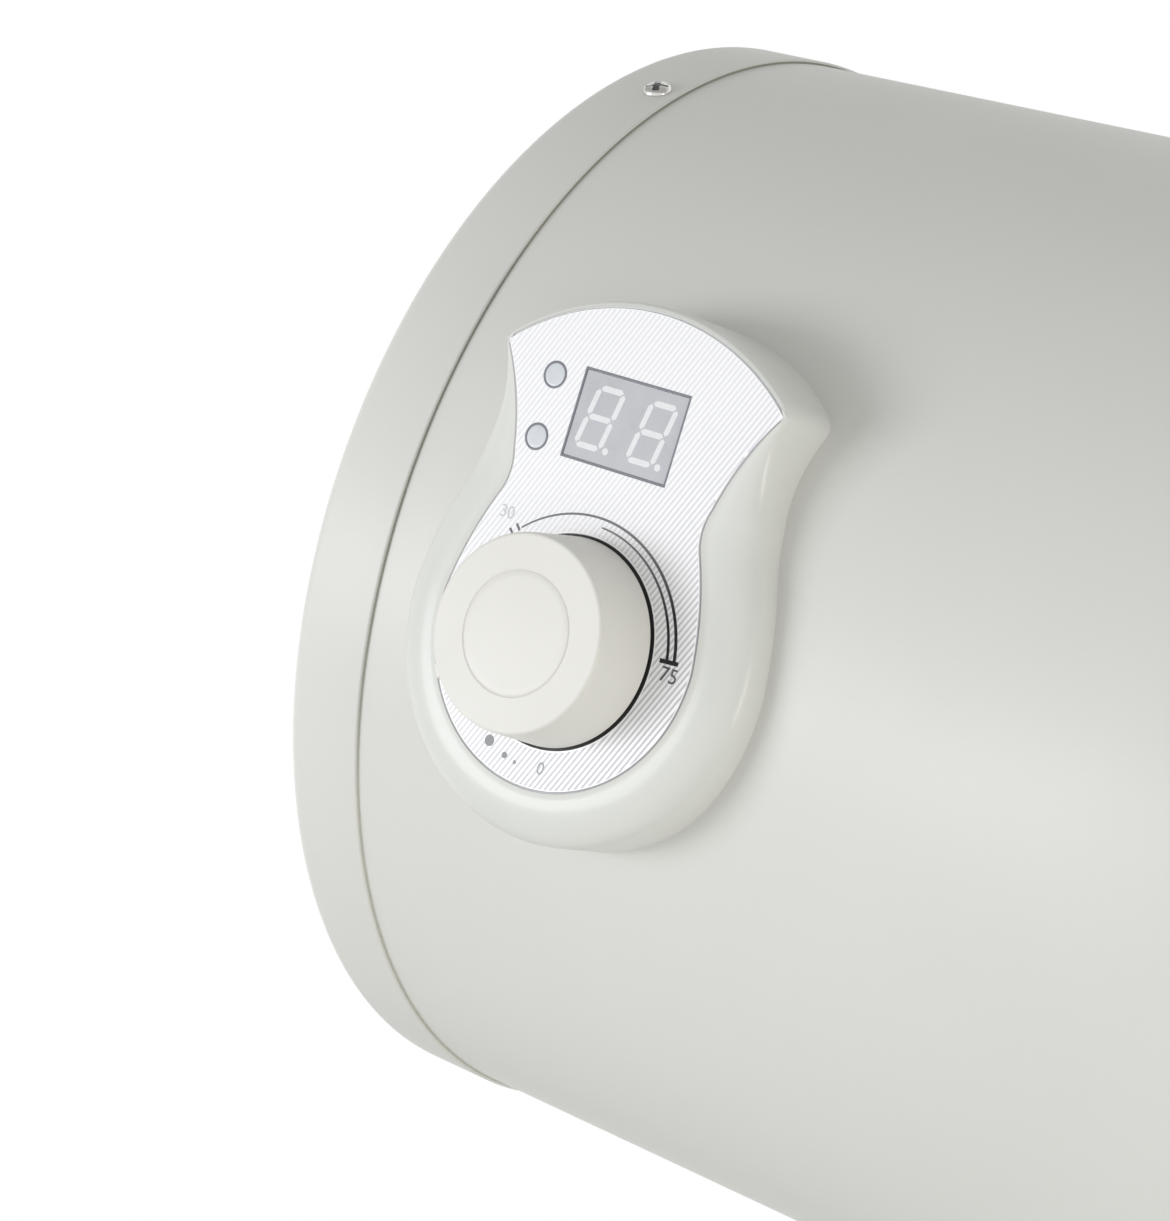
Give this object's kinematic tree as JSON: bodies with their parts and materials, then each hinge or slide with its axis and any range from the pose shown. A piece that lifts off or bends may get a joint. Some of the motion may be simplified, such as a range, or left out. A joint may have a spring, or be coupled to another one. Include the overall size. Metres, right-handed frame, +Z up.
{
  "type": "storage water heater",
  "caption": "Horizontal wall-hung electric storage water heater: a painted drum casing with end caps, a front control panel with knob and digit display, and pipe stubs below.",
  "frame": {"origin": "on the wall plane, in the middle of the bracket holes", "axes": "+X along the casing to the end without the control panel, -Y from the wall to the user, +Z up"},
  "size_m": [0.56, 0.3105, 0.303],
  "materials": {
    "casing_paint": "semi-gloss warm light grey paint",
    "bright_screw": "bright zinc",
    "foam": "rigid insulating foam",
    "tank_enamel": "dark glass enamel",
    "bare_steel": "rolled steel",
    "zinc_steel": "zinc plated",
    "copper": "drawn copper",
    "brass": "turned brass",
    "ceramic": "glazed ceramic",
    "anode_metal": "cast magnesium alloy",
    "dark_rubber": "moulded rubber",
    "dark_plastic": "fine-grained dark plastic",
    "red_plastic": "moulded red plastic",
    "blue_plastic": "moulded blue plastic",
    "cream_plastic": "insulating plastic",
    "brown_sleeve": "wire sleeve",
    "white_sleeve": "wire sleeve",
    "ivory_plastic": "glossy ivory white plastic",
    "hatched_plate": "white plate with fine silver diagonal lines",
    "display_grey": "grey digit module face",
    "segment_white": "unlit light guide",
    "board_green": "solder mask",
    "lamp_clear": "clear lens, unlit"
  },
  "bodies": {
    "heater": {"outer_shell": "casing_paint", "left_end_cap": "casing_paint", "right_end_cap": "casing_paint", "left_cap_screws": "bright_screw", "right_cap_screws": "bright_screw", "foam_jacket": "foam", "tank_barrel": "tank_enamel", "tank_left_head": "tank_enamel", "tank_right_head": "tank_enamel", "flange_neck": "bare_steel", "flange_gasket": "dark_rubber", "flange_plate": "zinc_steel", "flange_bolts": "zinc_steel", "heating_element": "copper", "element_insulators": "ceramic", "element_pins": "brass", "element_nuts": "brass", "sensor_pockets": "copper", "anode_rod": "anode_metal", "anode_nut": "zinc_steel", "thermal_cutout": "dark_plastic", "cold_inlet_pipe": "zinc_steel", "hot_outlet_pipe": "zinc_steel", "inlet_collar": "blue_plastic", "outlet_collar": "red_plastic", "left_wall_bracket": "zinc_steel", "right_wall_bracket": "zinc_steel", "bracket_posts": "zinc_steel", "post_grommets": "dark_rubber", "cord_gland": "dark_plastic", "gland_nut": "dark_plastic", "terminal_block": "cream_plastic", "terminal_screws": "brass", "power_wires": "brown_sleeve", "display_lead": "white_sleeve", "thermostat_capillary": "copper", "thermostat": "dark_plastic", "thermostat_nut": "brass", "control_housing": "ivory_plastic", "housing_screws": "zinc_steel", "faceplate": "hatched_plate", "display_module": "display_grey", "display_segments": "segment_white", "display_board": "board_green", "board_screws": "zinc_steel", "indicator_leds": "segment_white", "heat_lamp_lens": "lamp_clear", "power_lamp_lens": "lamp_clear"},
    "knob": {"control_knob": "ivory_plastic", "knob_cap": "ivory_plastic", "thermostat_shaft": "zinc_steel"},
    "reset_button": {"cutout_reset_button": "red_plastic"}
  },
  "joints": [
    {"name": "knob_turn", "type": "hinge", "parent": "heater", "child": "knob", "pos_m": [-0.2018, -0.29, -0.0129], "axis": [0, -1, 0], "range_deg": [-207, 63]},
    {"name": "reset_press", "type": "slide", "parent": "heater", "child": "reset_button", "axis": [1, 0, 0], "range_m": [0, 0.002], "stiffness_N_per_m": 1200}
  ]
}
